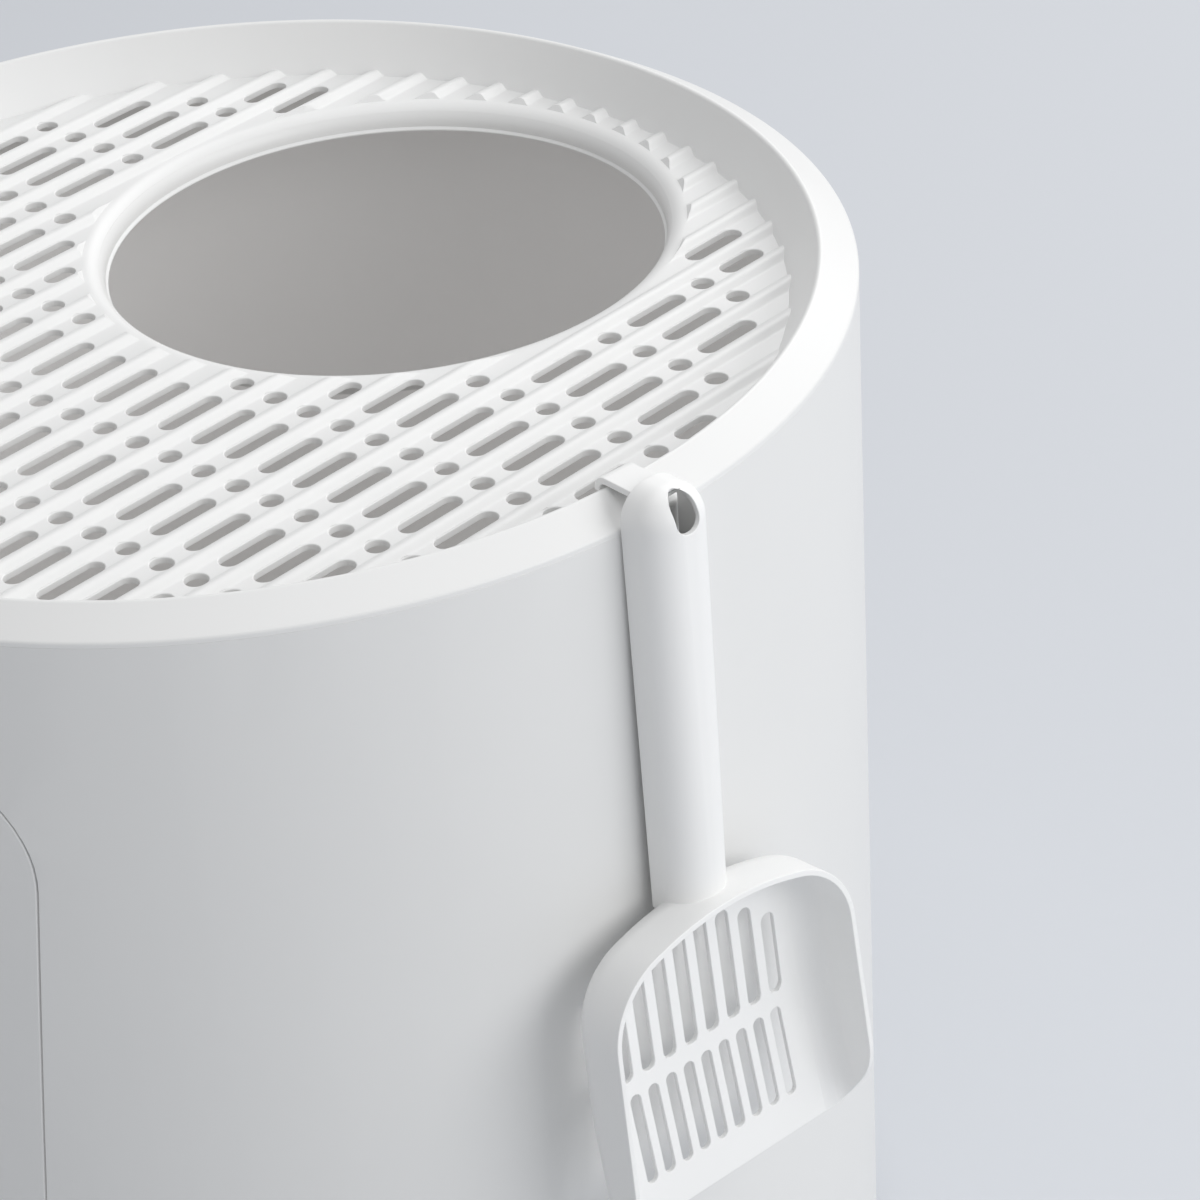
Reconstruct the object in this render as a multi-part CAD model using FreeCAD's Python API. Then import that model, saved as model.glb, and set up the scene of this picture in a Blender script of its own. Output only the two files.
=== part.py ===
# Covered litter box: a round drum with a drop-down front flap, a dished lid with an entry hole and a
# fluted, perforated deck, and a litter scoop that hangs on the rim.
# Millimetres. The origin is on the drum's axis, on the floor, with +Z up. The front faces -Y, the entry
# hole lies towards +Y, and the scoop hangs near +X.
import FreeCAD, Part
import math
import os

from FreeCAD import Vector

# Drum
crest_height = 412.0            # crest of the lid above the floor
rim_radius = 210.0              # outside of the drum wall at its top
wall_draft = 1.2                # degrees that the wall leans in towards the floor
wall = 3.0
base_round = 10.0               # outer corner under the wall
floor_round = 14.0              # inner corner of the floor
floor_skin = 3.0
foot_ring_width = 16.0
foot_recess = 4.0
foot_centre_radius = 45.0       # disc that carries the middle of the floor

# Lid
band_height = 9.0               # outer band that shows above the drum
rim_width = 12.5
rim_round = 7.0
lip_round = 1.5
dish_run = 10.5                 # how far the dish's wall leans in from its top to the bottom of the flutes
rim_rise = 17.2                 # crest above the bottom of the flutes
lid_skin = 2.8
skirt_depth = 15.0
skirt_wall = 2.4
skirt_clearance = 0.4

# Fluted deck
flute_pitch = 15.133
flute_depth = 1.8
flute_floor = 8.2               # flat bottom of a flute
flute_ridge = 1.2               # flat top between two flutes
deck_web = 2.2
row_pitch = 22.644
first_row_y = -46.8             # a row of slots in front of the axis
slot_length = 25.0
slot_width = 7.0
slot_least = 10.0               # shortest slot that is still cut
dot_diameter = 7.6
pattern_margin = 6.5            # the holes stay this far inside the foot of the dish

# Entry hole
hole_radius = 94.3
collar_width = 8.9              # smooth collar round the hole
collar_margin = 5.6             # from the collar to the foot of the dish
collar_bevel = 2.6
roll_radius = 7.2
roll_skirt = 1.4
roll_wall = 2.6

# Front flap and its opening
flap_sill = 130.0
flap_top_drop = 37.0            # top of the flap below the lid
flap_top_half = 108.0
flap_sill_half = 78.0
flap_top_round = 46.0
flap_sill_round = 24.0
flap_gap = 0.7                  # seam round the flap
flap_seat_gap = 0.3
frame_wall = 3.0
frame_outside = 8.0             # overlap of the frame behind the wall
frame_inside = 7.0              # ledge that the flap closes on
notch_radius = 17.0
notch_rise = 5.0                # centre of the finger notch above the flap's edge

# Hinge
barrel_radius = 4.0
barrel_gap = 0.5
flap_barrel_half = 22.0
drum_barrel_length = 14.0
pin_radius = 1.6
pin_clearance = 0.06
pin_head_radius = 2.8
pin_head = 1.4

# Scoop
scoop_angle = -5.4              # degrees from +X towards the front
scoop_clearance = 0.4
scoop_wall = 1.8
handle_top_half = 12.3          # half of the handle's width at its top
handle_foot_half = 11.0         # and where it meets the pan
handle_depth = 17.0
handle_round = 10.8
handle_rise = 5.5               # top of the handle above the crest
hang_hole_length = 12.2
hang_hole_width = 9.0
hang_hole_drop = 6.6            # centre of the hole below the handle's top
hook_width = 12.0
hook_skin = 2.2
hook_lip = 3.0                  # the lip's end below the crest
hook_gap = 0.6                  # from the lip's end to the dish's wall
hook_round = 2.4
hook_seat = 0.3
hook_root = 6.0
pan_top_drop = 138.5            # top of the pan below the crest
pan_length = 109.0
pan_foot_half = 52.6            # half of the pan's width at its blade
pan_shoulder_half = 50.2
pan_shoulder_drop = 10.2
pan_peak = 4.8
pan_shoulder_round = 28.0
pan_peak_round = 100.0
pan_depth = 23.0
pan_floor_round = 10.0
pan_tilt = 5.0                  # degrees that the pan leans away from the wall
floor_bend_height = 46.0        # the pan's floor bends forward below this height above its blade
floor_bend = 6.0                # degrees
floor_bend_round = 120.0
mouth_rise = 20.0               # the mouth slants up from the blade to the rim
mouth_round = 26.0
upper_slot_count = 8
upper_slot_pitch = 9.2
upper_slot_width = 5.4
upper_slot_foot = 50.5          # lower end of the upper slots above the blade
upper_slot_margin = 16.6        # upper ends of the slots below the pan's top, on an arch
upper_slot_arch = 48.0
lower_slot_count = 9
lower_slot_pitch = 7.6
lower_slot_width = 4.4
lower_slot_foot = 13.0
lower_slot_top = 45.0

overrun = 5.0                   # cutters run this far past a face
pick_tolerance = 0.02           # two places closer than this count as one when edges are picked

# Derived
seat_z = crest_height - band_height
groove_z = crest_height - rim_rise
ridge_z = groove_z + flute_depth
deck_under_z = groove_z - deck_web
dish_top_radius = rim_radius - rim_width
dish_foot_radius = dish_top_radius - dish_run
dish_slope = dish_run / (rim_rise - lip_round)
pattern_radius = dish_foot_radius - pattern_margin
collar_radius = hole_radius + collar_width
hole_y = dish_foot_radius - collar_margin - collar_radius
flap_top = seat_z - flap_top_drop
hook_reach = scoop_clearance + rim_width + hook_lip * dish_slope + hook_gap + hook_skin
draft_slope = math.tan(math.radians(wall_draft))
X_AXIS = Vector(1, 0, 0)
Y_AXIS = Vector(0, 1, 0)
Z_AXIS = Vector(0, 0, 1)
ORIGIN = Vector(0, 0, 0)


def wall_radius(z):
    """Outside radius of the drum wall at a height."""
    return rim_radius - (seat_z - z) * draft_slope


def in_xz(a, b):
    return Vector(a, 0, b)


def in_yz(a, b):
    return Vector(0, a, b)


def rounded_face(corners, place):
    """A flat face from corners (a, b, radius): straight runs joined by tangent arcs."""
    here = [place(a, b) for a, b, radius in corners]
    count = len(corners)
    starts = []
    mids = []
    ends = []
    for i in range(count):
        radius = corners[i][2]
        before = (here[i - 1] - here[i]).normalize()
        after = (here[(i + 1) % count] - here[i]).normalize()
        half = before.getAngle(after) / 2
        reach = radius / math.tan(half)
        starts.append(here[i] + before * reach)
        ends.append(here[i] + after * reach)
        inward = (before + after).normalize() if radius else before
        mids.append(here[i] + inward * (radius / math.sin(half) - radius))
    edges = []
    for i in range(count):
        if corners[i][2]:
            edges.append(Part.Arc(starts[i], mids[i], ends[i]).toShape())
        edges.append(Part.LineSegment(ends[i], starts[(i + 1) % count]).toShape())
    return Part.Face(Part.Wire(edges))


def turned(corners, centre_y=0.0):
    """A solid of revolution about a vertical axis, from corners (radius, height, round)."""
    face = rounded_face(corners, in_xz)
    solid = face.revolve(ORIGIN, Z_AXIS, 360)
    solid.translate(Vector(0, centre_y, 0))
    return solid


def box_between(x_low, x_high, y_low, y_high, z_low, z_high):
    corner = Vector(x_low, y_low, z_low)
    return Part.makeBox(x_high - x_low, y_high - y_low, z_high - z_low, corner)


def rod_x(radius, x_low, x_high, y, z):
    return Part.makeCylinder(radius, x_high - x_low, Vector(x_low, y, z), X_AXIS)


# Drum

def wall_shell(outer_drop, thickness, z_low, z_high):
    """A drafted ring whose outside lies outer_drop inside the drum's outer face."""
    corners = [
        (wall_radius(z_low) - outer_drop, z_low, 0),
        (wall_radius(z_high) - outer_drop, z_high, 0),
        (wall_radius(z_high) - outer_drop - thickness, z_high, 0),
        (wall_radius(z_low) - outer_drop - thickness, z_low, 0),
    ]
    return turned(corners)


def flap_prism(grow):
    """The flap's outline, grown by a gap or a ledge, extruded through the front wall."""
    top = flap_top + grow
    sill = flap_sill - grow
    lean = (flap_top_half - flap_sill_half) / (flap_top - flap_sill)
    top_half = flap_top_half + grow + grow * lean
    sill_half = flap_sill_half + grow - grow * lean
    corners = [
        (-top_half, top, flap_top_round + grow),
        (-sill_half, sill, flap_sill_round + grow),
        (sill_half, sill, flap_sill_round + grow),
        (top_half, top, flap_top_round + grow),
    ]
    face = rounded_face(corners, in_xz)
    return face.extrude(Vector(0, -rim_radius - overrun, 0))


def finger_notch():
    centre = Vector(0, 0, flap_top + notch_rise)
    return Part.makeCylinder(notch_radius, rim_radius + overrun, centre, -Y_AXIS)


def hinge_y():
    return barrel_radius - wall_radius(flap_sill)


def barrel(radius, x_low, x_high):
    return rod_x(radius, x_low, x_high, hinge_y(), flap_sill)


def hinge_half():
    """Half of the room that the barrels and the pin's head need along the hinge."""
    return flap_barrel_half + drum_barrel_length + pin_head + 2 * barrel_gap


def drum_tub():
    low = wall_radius(base_round)
    outside = turned([
        (0, 0, 0),
        (low, 0, base_round),
        (rim_radius, seat_z, 0),
        (0, seat_z, 0),
    ])
    floor_z = foot_recess + floor_skin
    inside = turned([
        (0, floor_z, 0),
        (wall_radius(floor_z) - wall, floor_z, floor_round),
        (rim_radius - wall, seat_z, 0),
        (rim_radius - wall, seat_z + overrun, 0),
        (0, seat_z + overrun, 0),
    ])
    ring_inside = low - base_round - foot_ring_width
    recess = turned([
        (foot_centre_radius, -overrun, 0),
        (ring_inside, -overrun, 0),
        (ring_inside, foot_recess, 0),
        (foot_centre_radius, foot_recess, 0),
    ])
    return outside.cut(inside).cut(recess)


def drum_frame():
    """The ledge behind the opening that the flap closes on."""
    low = flap_sill - frame_outside - overrun
    high = flap_top + frame_outside + overrun
    ring = wall_shell(wall, frame_wall, low, high)
    return ring.common(flap_prism(frame_outside)).cut(flap_prism(-frame_inside))


def drum_barrels():
    """The two barrels beside the flap's own, each on a root that joins it to the wall."""
    near = flap_barrel_half + barrel_gap
    far = near + drum_barrel_length
    front = hinge_y() - barrel_radius / 2
    back = hinge_y() + barrel_radius
    low = flap_sill - frame_outside
    shapes = []
    for side in (-1, 1):
        x_low = min(side * near, side * far)
        x_high = max(side * near, side * far)
        shapes.append(barrel(barrel_radius, x_low, x_high))
        shapes.append(box_between(x_low, x_high, front, back, low, flap_sill))
    return shapes


def flap_foot_sweep():
    """The room that the foot of the flap sweeps in front of its barrel as it drops."""
    half = flap_barrel_half + barrel_gap
    sweep = barrel(barrel_radius * math.sqrt(2) + barrel_gap, -half, half)
    front = box_between(-half, half, -rim_radius, hinge_y(), 0, flap_sill)
    return sweep.common(front)


def make_drum():
    body = drum_tub().cut(flap_prism(flap_gap))
    body = body.fuse(drum_frame())
    body = body.cut(barrel(barrel_radius + barrel_gap, -hinge_half(), hinge_half()))
    body = body.cut(finger_notch().common(flap_prism(frame_outside)))
    body = body.multiFuse(drum_barrels())
    flap_half = flap_barrel_half + barrel_gap
    body = body.cut(barrel(barrel_radius + barrel_gap, -flap_half, flap_half))
    body = body.cut(flap_foot_sweep())
    return body.cut(barrel(pin_radius + pin_clearance, -hinge_half(), hinge_half()))


# Front flap

def make_flap():
    skin = wall - flap_seat_gap
    shell = wall_shell(0, skin, flap_sill - overrun, flap_top + overrun)
    flap = shell.common(flap_prism(0.0)).cut(finger_notch())
    for side in (-1, 1):
        x_low = min(side * flap_barrel_half, side * hinge_half())
        x_high = max(side * flap_barrel_half, side * hinge_half())
        flap = flap.cut(barrel(barrel_radius + barrel_gap, x_low, x_high))
    flap = flap.fuse(barrel(barrel_radius, -flap_barrel_half, flap_barrel_half))
    return flap.cut(barrel(pin_radius + pin_clearance, -hinge_half(), hinge_half()))


def make_hinge_pin():
    reach = flap_barrel_half + barrel_gap + drum_barrel_length
    shaft = barrel(pin_radius, -reach - pin_head, reach)
    head = barrel(pin_head_radius, -reach - pin_head, -reach)
    return shaft.fuse(head)


# Lid

def lid_body():
    ridge_radius = dish_foot_radius + flute_depth * dish_slope
    skirt_z = seat_z - skirt_depth
    skirt_top = rim_radius - wall - skirt_clearance
    skirt_foot = wall_radius(skirt_z) - wall - skirt_clearance
    under_radius = dish_foot_radius - deck_web * dish_slope + lid_skin
    under_top_z = crest_height - lid_skin
    under_top = under_radius + (under_top_z - deck_under_z) * dish_slope
    return turned([
        (rim_radius, seat_z, 0),
        (rim_radius, crest_height, rim_round),
        (dish_top_radius, crest_height, lip_round),
        (ridge_radius, ridge_z, 0),
        (0, ridge_z, 0),
        (0, deck_under_z, 0),
        (under_radius, deck_under_z, 0),
        (under_top, under_top_z, 0),
        (skirt_top - skirt_wall, under_top_z, 0),
        (skirt_foot - skirt_wall, skirt_z, 0),
        (skirt_foot, skirt_z, 0),
        (skirt_top, seat_z, 0),
    ])


def collar_tool():
    """Everything that the collar and the entry hole take away."""
    return turned([
        (0, ridge_z + overrun, 0),
        (collar_radius + collar_bevel, ridge_z + overrun, 0),
        (collar_radius + collar_bevel, ridge_z, 0),
        (collar_radius, groove_z, 0),
        (hole_radius, groove_z, roll_radius),
        (hole_radius, groove_z - roll_radius - roll_skirt - overrun, 0),
        (0, groove_z - roll_radius - roll_skirt - overrun, 0),
    ], hole_y)


def collar_ring():
    """The rolled edge that hangs below the deck round the entry hole."""
    outside = hole_radius + roll_wall
    low = groove_z - roll_radius - roll_skirt
    return turned([
        (hole_radius - overrun, groove_z, 0),
        (hole_radius - overrun, low, 0),
        (outside, low, 0),
        (outside, deck_under_z, 0),
        (outside + roll_radius, deck_under_z, 0),
        (outside + roll_radius, groove_z, 0),
    ], hole_y)


def flute_zone():
    """The part of the dish in which the flutes are cut: up to its slope and the collar's bevel."""
    high = ridge_z + overrun
    dish = turned([
        (0, groove_z, 0),
        (dish_foot_radius, groove_z, 0),
        (dish_foot_radius + (high - groove_z) * dish_slope, high, 0),
        (0, high, 0),
    ])
    bevel = collar_bevel / flute_depth
    collar = turned([
        (0, groove_z - overrun, 0),
        (collar_radius - overrun * bevel, groove_z - overrun, 0),
        (collar_radius + (high + overrun - groove_z) * bevel, high + overrun, 0),
        (0, high + overrun, 0),
    ], hole_y)
    return dish.cut(collar)


def flute_tool(x):
    """A flat-bottomed flute with rounded sides, running from front to back."""
    side = (flute_pitch - flute_ridge) / 2
    floor_half = flute_floor / 2
    run = side - floor_half
    radius = (run * run + flute_depth * flute_depth) / (2 * flute_depth)
    angle = math.asin(run / radius)
    rise = radius - radius * math.cos(angle / 2)
    step = radius * math.sin(angle / 2)
    y = -rim_radius
    top = ridge_z + overrun
    edges = []
    for sign in (1, -1):
        foot = Vector(x + sign * floor_half, y, groove_z)
        mid = Vector(x + sign * (floor_half + step), y, groove_z + rise)
        edge = Vector(x + sign * side, y, ridge_z)
        high = Vector(x + sign * side, y, top)
        edges.append(Part.Arc(foot, mid, edge).toShape())
        edges.append(Part.LineSegment(edge, high).toShape())
    floor_low = Vector(x - floor_half, y, groove_z)
    floor_high = Vector(x + floor_half, y, groove_z)
    edges.append(Part.LineSegment(floor_low, floor_high).toShape())
    edges.append(Part.LineSegment(Vector(x - side, y, top), Vector(x + side, y, top)).toShape())
    face = Part.Face(Part.Wire(Part.__sortEdges__(edges)))
    return face.extrude(Vector(0, 2 * rim_radius, 0))


def columns():
    """The x of each flute, symmetric about the middle."""
    count = int(dish_foot_radius / flute_pitch)
    return [(i + 0.5) * flute_pitch for i in range(-count - 1, count + 1)]


def slot_face(half, y_low, y_high):
    """A slot outline in XY with its two ends fully round."""
    low = y_low + half
    high = y_high - half
    corners = [Vector(-half, low, 0), Vector(half, low, 0), Vector(half, high, 0), Vector(-half, high, 0)]
    edges = [
        Part.Arc(corners[0], Vector(0, y_low, 0), corners[1]).toShape(),
        Part.LineSegment(corners[1], corners[2]).toShape(),
        Part.Arc(corners[2], Vector(0, y_high, 0), corners[3]).toShape(),
        Part.LineSegment(corners[3], corners[0]).toShape(),
    ]
    return Part.Face(Part.Wire(edges))


def deck_slot(x, y_low, y_high):
    face = slot_face(slot_width / 2, y_low, y_high)
    face.translate(Vector(x, 0, deck_under_z - overrun))
    return face.extrude(Vector(0, 0, ridge_z - deck_under_z + 2 * overrun))


def deck_dot(x, y):
    depth = ridge_z - deck_under_z + 2 * overrun
    return Part.makeCylinder(dot_diameter / 2, depth, Vector(x, y, deck_under_z - overrun))


def free_stretches(x, y_low, y_high):
    """The pieces of a front-to-back line that lie inside the pattern and clear of the collar."""
    if abs(x) >= pattern_radius:
        return []
    limit = math.sqrt(pattern_radius ** 2 - x ** 2)
    low = max(y_low, -limit)
    high = min(y_high, limit)
    clear = collar_radius + collar_bevel
    if abs(x) >= clear:
        return [(low, high)]
    reach = math.sqrt(clear ** 2 - x ** 2)
    return [(low, min(high, hole_y - reach)), (max(low, hole_y + reach), high)]


def deck_holes():
    """Rows of slots and rows of round holes by turns, one of each in every flute."""
    tools = []
    rows = int(2 * pattern_radius / row_pitch)
    for x in columns():
        for k in range(-rows, rows):
            y = first_row_y + k * row_pitch
            if k % 2 == 0:
                for low, high in free_stretches(x, y - slot_length / 2, y + slot_length / 2):
                    if high - low >= slot_least:
                        tools.append(deck_slot(x, low, high))
            else:
                half = dot_diameter / 2
                inside = math.hypot(x, y) + half <= pattern_radius
                clear = math.hypot(x, y - hole_y) - half >= collar_radius
                if inside and clear:
                    tools.append(deck_dot(x, y))
    return tools


def make_lid():
    lid = lid_body()
    zone = flute_zone()
    flutes = [flute_tool(x).common(zone) for x in columns()]
    lid = lid.cut(flutes)
    lid = lid.fuse(collar_ring()).cut(collar_tool())
    return lid.cut(deck_holes())


# Scoop, built with the drum's wall at x = 0, its width along Y, and then hung on the rim

def handle_block(inset, z_low):
    """The rounded, tapering handle, or the hollow inside it."""
    foot_z = crest_height - pan_top_drop
    top_z = crest_height + handle_rise
    lean = (handle_top_half - handle_foot_half) / (top_z - foot_z)
    top = top_z - inset
    front = handle_depth - inset
    top_half = handle_top_half - inset
    low_half = handle_top_half - (top_z - z_low) * lean - inset
    back = 0 if inset == 0 else -overrun
    corners = [(-low_half, z_low, 0), (low_half, z_low, 0), (top_half, top, 0), (-top_half, top, 0)]
    face = rounded_face(corners, in_yz)
    face.translate(Vector(back, 0, 0))
    block = face.extrude(Vector(front - back, 0, 0))
    edges = []
    for edge in block.Edges:
        box = edge.BoundBox
        at_front = box.XMin > front - pick_tolerance
        at_top = box.ZMin > top - pick_tolerance
        on_side = box.YLength < pick_tolerance and box.XLength > pick_tolerance
        upright = box.ZLength > pick_tolerance
        if (at_front and upright) or (at_top and (at_front or on_side)):
            edges.append(edge)
    return block.makeFillet(handle_round - inset, edges)


def stood_up(shape):
    """Turn a flat shape from the XY plane into the YZ plane: its x becomes y, and its y becomes z."""
    shape.rotate(ORIGIN, X_AXIS, 90)
    shape.rotate(ORIGIN, Z_AXIS, 90)
    return shape


def hang_hole():
    low = crest_height + handle_rise - hang_hole_drop - hang_hole_length / 2
    half = hang_hole_width / 2
    shape = stood_up(slot_face(half, 0, hang_hole_length))
    shape.translate(Vector(handle_depth / 2, 0, low))
    return shape.extrude(Vector(handle_depth, 0, 0))


def hook(handle_outside):
    """An arch over the lid's crest with a lip down its inner side."""
    far = -hook_reach
    under = crest_height + hook_seat
    top = under + hook_skin
    low = crest_height - hook_lip
    corners = [
        (far, low, hook_skin / 2 - hook_seat),
        (far, top, hook_round + hook_skin),
        (hook_root, top, 0),
        (hook_root, under, 0),
        (far + hook_skin, under, hook_round),
        (far + hook_skin, low, hook_skin / 2 - hook_seat),
    ]
    face = rounded_face(corners, in_xz)
    face.translate(Vector(0, -hook_width / 2, 0))
    strip = face.extrude(Vector(0, hook_width, 0))
    web = box_between(0, hook_root, -handle_top_half, handle_top_half, under, top)
    return strip.fuse(web.common(handle_outside))


def pan_outline(inset, foot):
    """Pan seen from the front, with its blade at z = 0 and room below it for a clean cut."""
    shoulder_z = pan_length - pan_shoulder_drop
    lean = (pan_foot_half - pan_shoulder_half) / shoulder_z
    half = pan_foot_half - foot * lean - inset
    shoulder = pan_shoulder_half - inset
    peak_z = pan_length + pan_peak - inset
    return [
        (-half, foot, 0),
        (half, foot, 0),
        (shoulder, shoulder_z - inset, pan_shoulder_round - inset),
        (0, peak_z, pan_peak_round - inset),
        (-shoulder, shoulder_z - inset, pan_shoulder_round - inset),
    ]


def pan_side(inset, foot, front):
    """Side view of the pan between its floor, which bends forward to the blade, and a front plane."""
    bend = math.tan(math.radians(floor_bend))
    high = pan_length + overrun
    corners = [
        (inset + (floor_bend_height - foot) * bend, foot, 0),
        (front, foot, 0),
        (front, high, 0),
        (inset, high, 0),
        (inset, floor_bend_height, floor_bend_round),
    ]
    face = rounded_face(corners, in_xz)
    wide = pan_foot_half + overrun
    face.translate(Vector(0, -wide, 0))
    return face.extrude(Vector(0, 2 * wide, 0))


def pan_block(inset, foot, front):
    """The pan's outside, or its hollow: the outline and the side view in one, with a rounded floor edge."""
    face = rounded_face(pan_outline(inset, foot), in_yz)
    block = face.extrude(Vector(front + overrun, 0, 0)).common(pan_side(inset, foot, front))
    edges = []
    for edge in block.Edges:
        box = edge.BoundBox
        if box.ZLength > pick_tolerance and box.XMax < pan_depth / 2:
            edges.append(edge)
    return block.makeFillet(pan_floor_round - inset, edges)


def pan_mouth():
    """What the slanting mouth takes away in front of the blade."""
    bend = math.tan(math.radians(floor_bend))
    blade_x = floor_bend_height * bend + scoop_wall
    corners = [
        (-overrun, 0, 0),
        (blade_x, 0, 0),
        (pan_depth, mouth_rise, mouth_round),
        (pan_depth, pan_length + overrun, 0),
        (-overrun, pan_length + overrun, 0),
    ]
    face = rounded_face(corners, in_xz)
    wide = pan_foot_half + overrun
    face.translate(Vector(0, -wide, 0))
    return face.extrude(Vector(0, 2 * wide, 0))


def pan_slot(y, low, high, width):
    shape = stood_up(slot_face(width / 2, low, high))
    shape.translate(Vector(-overrun, y, 0))
    return shape.extrude(Vector(pan_depth, 0, 0))


def pan_slots():
    tools = []
    for i in range(lower_slot_count):
        y = (i - (lower_slot_count - 1) / 2) * lower_slot_pitch
        tools.append(pan_slot(y, lower_slot_foot, lower_slot_top, lower_slot_width))
    for i in range(upper_slot_count):
        y = (i - (upper_slot_count - 1) / 2) * upper_slot_pitch
        arch = upper_slot_arch - math.sqrt(upper_slot_arch ** 2 - y ** 2)
        top = pan_length - upper_slot_margin - arch
        tools.append(pan_slot(y, upper_slot_foot, top, upper_slot_width))
    return tools


def hung_pan(shape):
    """Move a shape from the pan's own place to its place under the handle."""
    moved = shape.copy()
    moved.translate(Vector(0, 0, -pan_length))
    moved.rotate(ORIGIN, Y_AXIS, -pan_tilt)
    moved.translate(Vector(0, 0, crest_height - pan_top_drop))
    return moved


def make_scoop():
    outer = pan_block(0, -overrun, pan_depth).common(pan_mouth())
    hollow = pan_block(scoop_wall, -2 * overrun, pan_depth + overrun)
    pan = hung_pan(outer.cut(hollow).cut(pan_slots()))
    handle_low = crest_height - pan_top_drop - overrun
    handle_outside = handle_block(0, handle_low)
    handle = handle_outside.cut(hung_pan(hollow))
    handle_hollow = handle_block(scoop_wall, crest_height - pan_top_drop)
    handle = handle.cut(handle_hollow).cut(hang_hole())
    scoop = pan.multiFuse([handle, hook(handle_outside)]).removeSplitter()
    scoop.translate(Vector(rim_radius + scoop_clearance, 0, 0))
    scoop.rotate(ORIGIN, Z_AXIS, scoop_angle)
    return scoop


os.makedirs("parts", exist_ok=True)
nodes = {
    "drum_body": make_drum,
    "front_flap": make_flap,
    "flap_hinge_pin": make_hinge_pin,
    "lid": make_lid,
    "scoop": make_scoop,
}
for name, make in nodes.items():
    shape = make()
    print(name, "valid", shape.isValid(), "solids", len(shape.Solids), "volume", round(shape.Volume))
    shape.exportStep("parts/" + name + ".step")
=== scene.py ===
"""Covered litter box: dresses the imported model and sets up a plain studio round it.

The drum, the front flap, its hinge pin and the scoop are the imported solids, merged and given soft
edges. The lid is built again from its own sizes, because its fluted and slotted deck follows a rule.
"""
import math

import bmesh
import bpy
from bpy.props import FloatProperty, FloatVectorProperty, IntProperty, PointerProperty
from mathutils import Matrix, Vector


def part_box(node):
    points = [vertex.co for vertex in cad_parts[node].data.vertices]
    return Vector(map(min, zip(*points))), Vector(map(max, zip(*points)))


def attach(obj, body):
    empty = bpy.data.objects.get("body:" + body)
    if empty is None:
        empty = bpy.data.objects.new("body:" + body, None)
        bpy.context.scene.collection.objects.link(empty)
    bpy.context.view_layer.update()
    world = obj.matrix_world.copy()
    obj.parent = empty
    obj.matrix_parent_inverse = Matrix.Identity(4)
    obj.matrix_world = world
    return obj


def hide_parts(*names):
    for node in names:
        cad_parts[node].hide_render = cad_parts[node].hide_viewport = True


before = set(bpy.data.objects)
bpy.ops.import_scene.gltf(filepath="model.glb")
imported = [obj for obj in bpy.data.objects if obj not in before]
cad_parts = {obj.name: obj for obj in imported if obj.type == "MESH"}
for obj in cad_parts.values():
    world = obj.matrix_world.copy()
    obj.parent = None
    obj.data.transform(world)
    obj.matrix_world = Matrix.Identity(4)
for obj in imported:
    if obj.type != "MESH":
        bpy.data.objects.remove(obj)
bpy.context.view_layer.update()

bl_info = {
    "name": "Covered Litter Box",
    "version": (1, 0, 0),
    "blender": (4, 5, 0),
    "location": "View3D > Sidebar > Litter Box",
    "description": "Builds a covered litter box round its packed frame, with a studio for it",
    "category": "Object",
}

MM = 0.001
LID_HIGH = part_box("lid")[1]
CREST = LID_HIGH.z
RIM = LID_HIGH.x

# Points nearer than this are one point
WELD = 0.004 * MM
# Faces that meet at less than the first angle are one face, at less than the second they shade as one
# curve, and past the third they meet in an edge that gets a small round
FLAT_ANGLE = math.radians(0.2)
SMOOTH_ANGLE = math.radians(32.0)
EDGE_ANGLE = math.radians(55.0)
# Steps along each kind of curve
EDGE_STEPS = 2
CORNER_STEPS = 8
ROLL_STEPS = 10
FLUTE_STEPS = 8
HOLE_STEPS = 14
HOLE_EDGE_STEPS = 4

# The two kinds of node that the deck uses most
MATHS = "ShaderNodeMath"
BOOLEAN = "GeometryNodeMeshBoolean"


def linear(code):
    """An sRGB colour written as six hex digits, as the linear colour that a shader takes."""
    channels = [int(code[i:i + 2], 16) / 255 for i in (0, 2, 4)]
    return [c / 12.92 if c <= 0.04045 else ((c + 0.055) / 1.055) ** 2.4 for c in channels]


def length(name, text, millimetres):
    """A length that a user can change, with its default in millimetres."""
    return FloatProperty(
        name=name, description=text, default=millimetres * MM, unit="LENGTH", precision=5)


def power(name, text, watts):
    """The power of a lamp, with its default in watts."""
    return FloatProperty(name=name, description=text, default=watts, unit="POWER")


def colour(name, text, code):
    """A colour that a user can change, with its default in hex digits."""
    return FloatVectorProperty(
        name=name, description=text, default=linear(code), subtype="COLOR", min=0, max=1)


class LitterBoxLidSizes(bpy.types.PropertyGroup):
    """Section of the lid outside its deck."""
    band_height: length("Band", "Height of the crest above the drum", 9.0)
    band_edge: length("Band edge", "Height of the upright edge below the sloping rim", 1.6)
    band_round: length("Band round", "Radius between the upright edge and the sloping rim", 1.2)
    lip_round: length("Lip round", "Radius where the crest turns down into the dish", 1.5)
    dish_top: length("Dish top", "Radius of the dish at the crest", 197.5)
    dish_foot: length("Dish foot", "Radius of the dish at the bottom of the flutes", 187.0)
    rim_rise: length("Rim rise", "Height of the crest above the bottom of the flutes", 17.2)
    skin: length("Skin", "Thickness of the rim and the dish", 2.8)
    deck_web: length("Deck web", "Thickness of the deck under a flute", 2.2)
    skirt_depth: length("Skirt depth", "Length of the skirt that goes down into the drum", 15.0)
    skirt_wall: length("Skirt wall", "Thickness of the skirt", 2.4)
    skirt_gap: length("Skirt gap", "Gap from the drum's outside to the skirt, its wall included", 3.4)
    skirt_lean: length("Skirt lean", "Distance that the skirt leans in at its foot", 0.314)


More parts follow.
